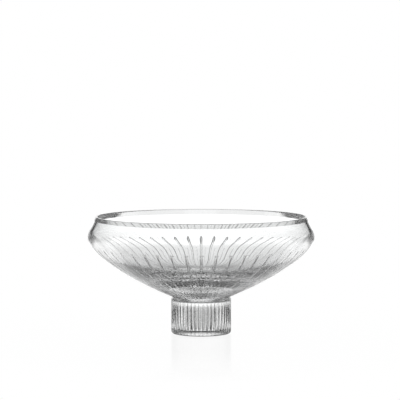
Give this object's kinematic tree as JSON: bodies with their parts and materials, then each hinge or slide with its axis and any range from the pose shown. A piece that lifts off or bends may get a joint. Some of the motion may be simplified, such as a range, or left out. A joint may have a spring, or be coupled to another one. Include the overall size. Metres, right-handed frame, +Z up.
{
  "type": "punch bowl",
  "caption": "Wide cut-glass punch bowl with a leaning upper wall and rounded shoulder, seated on a separate solid fluted glass drum base.",
  "frame": {"origin": "centre of the flat face that the base stands on", "axes": "+Z up along the axis of the bowl and its base; X and Y level, with a flute of the base centred on +X"},
  "size_m": [0.3498, 0.3496, 0.1805],
  "materials": {
    "bowl_glass": "clear polished crystal with mitre cuts",
    "base_glass": "clear polished crystal with flutes"
  },
  "bodies": {
    "base": {"fluted_base": "base_glass"},
    "bowl": {"bowl": "bowl_glass"}
  },
  "joints": [
    {"name": "bowl_lift", "type": "slide", "parent": "base", "child": "bowl", "axis": [0, 0, 1], "range_m": [0, 0.06]}
  ]
}
